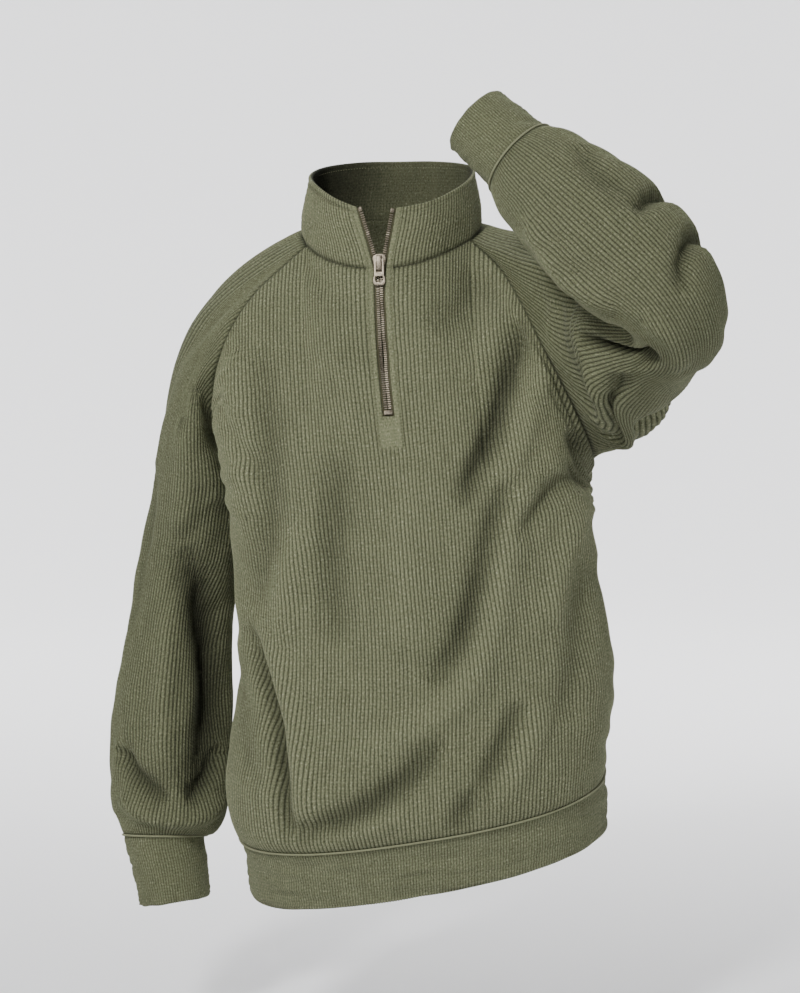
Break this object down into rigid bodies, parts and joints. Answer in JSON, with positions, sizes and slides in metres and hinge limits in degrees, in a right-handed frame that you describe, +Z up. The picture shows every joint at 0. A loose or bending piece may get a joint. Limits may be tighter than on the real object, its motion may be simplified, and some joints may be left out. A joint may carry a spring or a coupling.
{
  "type": "quarter zip sweater",
  "caption": "Hollow ribbed knit sweater with raglan sleeves, stand collar and a short front zip, posed with one arm hanging and one raised and bent.",
  "frame": {"origin": "middle of the neck opening at its base, where the wearer's neck and shoulders carry the garment", "axes": "+Z up, -Y the way the garment's front faces, +X towards the wearer's left"},
  "size_m": [0.659, 0.4253, 0.8692],
  "materials": {
    "knit": "matt ribbed wool-blend knit, olive green",
    "rib_trim": "matt fine rib, olive green melange",
    "zip_tape": "matt woven tape",
    "zip_metal": "aged brass, slightly dull"
  },
  "bodies": {
    "sweater": {"front": "knit", "back": "knit", "sleeve_right": "knit", "sleeve_left": "knit", "collar": "knit", "cuff_right": "rib_trim", "cuff_left": "rib_trim", "waistband": "rib_trim", "zip_tape_right": "zip_tape", "zip_tape_left": "zip_tape", "zip_teeth_right": "zip_metal", "zip_teeth_left": "zip_metal", "bottom_stop": "zip_metal", "top_stop_right": "zip_metal", "top_stop_left": "zip_metal", "slider": "zip_metal"},
    "tab": {"pull_tab": "zip_metal"}
  },
  "joints": [
    {"name": "pull_tab_hinge", "type": "hinge", "parent": "sweater", "child": "tab", "pos_m": [-0.00567, -0.0864, -0.02795], "axis": [-0.9977, 0.0452, -0.05], "range_deg": [0, 150]}
  ]
}
